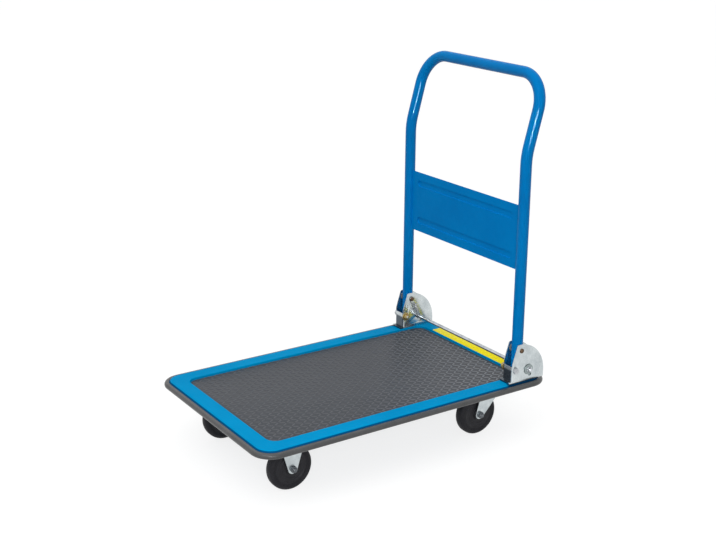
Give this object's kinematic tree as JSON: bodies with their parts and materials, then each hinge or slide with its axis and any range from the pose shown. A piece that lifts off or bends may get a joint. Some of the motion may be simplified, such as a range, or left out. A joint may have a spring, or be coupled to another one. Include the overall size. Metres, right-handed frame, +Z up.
{
  "type": "folding platform trolley",
  "caption": "Flat load platform on castors, fixed at the leading end and swivelling at the handle end, with a bent tube handle that folds down over the deck.",
  "frame": {"origin": "on the floor under the middle of the platform", "axes": "+X toward the handle end, +Y to the right of the person who pushes, +Z up"},
  "size_m": [0.74, 0.474, 0.82],
  "materials": {
    "deck_paint": "bright azure enamel, semi-gloss, faint orange peel",
    "handle_paint": "blue powder coat, semi-gloss",
    "mat_vinyl": "dark grey vinyl, moulded lozenge tread, matt",
    "bumper_pvc": "mid grey soft PVC, satin",
    "marker_vinyl": "plain yellow self-adhesive vinyl",
    "zinc_plate": "bright zinc plate, faintly clouded",
    "pin_steel": "plain turned steel, lightly oiled",
    "bolt_zinc": "zinc-plated fastener",
    "yellow_zinc": "yellow passivated zinc",
    "spring_steel": "drawn spring wire, zinc-plated",
    "bar_steel": "drawn bar, bright zinc",
    "ball_steel": "polished bearing steel",
    "washer_nylon": "natural nylon",
    "plug_plastic": "black polyethylene plug",
    "tyre_rubber": "black solid rubber, moulded rings",
    "hub_plastic": "black moulded polypropylene"
  },
  "bodies": {
    "chassis": {"deck_pan": "deck_paint", "front_cross_channel": "deck_paint", "rear_cross_channel": "deck_paint", "left_floor_rib": "deck_paint", "right_floor_rib": "deck_paint", "deck_mat": "mat_vinyl", "bumper_strip": "bumper_pvc", "marker_strip": "marker_vinyl", "left_hinge_bracket": "zinc_plate", "right_hinge_bracket": "zinc_plate", "left_pivot_pin": "pin_steel", "right_pivot_pin": "pin_steel", "stop_bolts": "bolt_zinc", "stop_nuts": "yellow_zinc", "castor_bolts": "bolt_zinc", "castor_nuts": "bolt_zinc", "bracket_bolts": "bolt_zinc", "bracket_nuts": "bolt_zinc", "front_axle_nuts": "bolt_zinc", "left_release_spring": "spring_steel", "right_release_spring": "spring_steel", "front_left_top_plate": "zinc_plate", "front_left_fork": "zinc_plate", "front_left_axle_bolt": "bolt_zinc", "front_right_top_plate": "zinc_plate", "front_right_fork": "zinc_plate", "front_right_axle_bolt": "bolt_zinc", "rear_left_top_plate": "zinc_plate", "rear_left_king_pin": "pin_steel", "rear_right_top_plate": "zinc_plate", "rear_right_king_pin": "pin_steel"},
    "handle": {"handle_tube": "handle_paint", "handle_panel": "handle_paint", "pivot_sleeves": "pin_steel", "pivot_washers": "washer_nylon", "tail_plugs": "plug_plastic"},
    "release_bar": {"release_bar": "bar_steel", "release_bar_washers": "bar_steel", "release_bar_caps": "bar_steel"},
    "front_left_wheel": {"front_left_tyre": "tyre_rubber", "front_left_hub": "hub_plastic", "front_left_bush": "pin_steel"},
    "front_right_wheel": {"front_right_tyre": "tyre_rubber", "front_right_hub": "hub_plastic", "front_right_bush": "pin_steel"},
    "rear_left_swivel": {"rear_left_fork": "zinc_plate", "rear_left_swivel_balls": "ball_steel", "rear_left_axle_bolt": "bolt_zinc", "rear_left_axle_nut": "bolt_zinc"},
    "rear_left_wheel": {"rear_left_tyre": "tyre_rubber", "rear_left_hub": "hub_plastic", "rear_left_bush": "pin_steel"},
    "rear_right_swivel": {"rear_right_fork": "zinc_plate", "rear_right_swivel_balls": "ball_steel", "rear_right_axle_bolt": "bolt_zinc", "rear_right_axle_nut": "bolt_zinc"},
    "rear_right_wheel": {"rear_right_tyre": "tyre_rubber", "rear_right_hub": "hub_plastic", "rear_right_bush": "pin_steel"}
  },
  "joints": [
    {"name": "handle_fold", "type": "hinge", "parent": "chassis", "child": "handle", "pos_m": [0.2917, 0, 0.211], "axis": [0, -1, 0], "range_deg": [0, 97.5]},
    {"name": "release_bar_press", "type": "slide", "parent": "chassis", "child": "release_bar", "axis": [0.3091, 0, -0.951], "range_m": [0, 0.01262], "stiffness_N_per_m": 1200, "springref_m": -0.008, "deforming": ["left_release_spring", "right_release_spring"]},
    {"name": "front_left_wheel_spin", "type": "hinge", "parent": "chassis", "child": "front_left_wheel", "pos_m": [-0.2561, -0.143, 0.05], "axis": [0, 1, 0], "continuous": true},
    {"name": "front_right_wheel_spin", "type": "hinge", "parent": "chassis", "child": "front_right_wheel", "pos_m": [-0.2561, 0.143, 0.05], "axis": [0, 1, 0], "continuous": true},
    {"name": "rear_left_swivel_turn", "type": "hinge", "parent": "chassis", "child": "rear_left_swivel", "pos_m": [0.2647, -0.143, 0.11], "axis": [0, 0, 1], "continuous": true},
    {"name": "rear_left_wheel_spin", "type": "hinge", "parent": "rear_left_swivel", "child": "rear_left_wheel", "pos_m": [0.2317, -0.143, 0.05], "axis": [0, 1, 0], "continuous": true},
    {"name": "rear_right_swivel_turn", "type": "hinge", "parent": "chassis", "child": "rear_right_swivel", "pos_m": [0.2647, 0.143, 0.11], "axis": [0, 0, 1], "continuous": true},
    {"name": "rear_right_wheel_spin", "type": "hinge", "parent": "rear_right_swivel", "child": "rear_right_wheel", "pos_m": [0.2317, 0.143, 0.05], "axis": [0, 1, 0], "continuous": true}
  ]
}
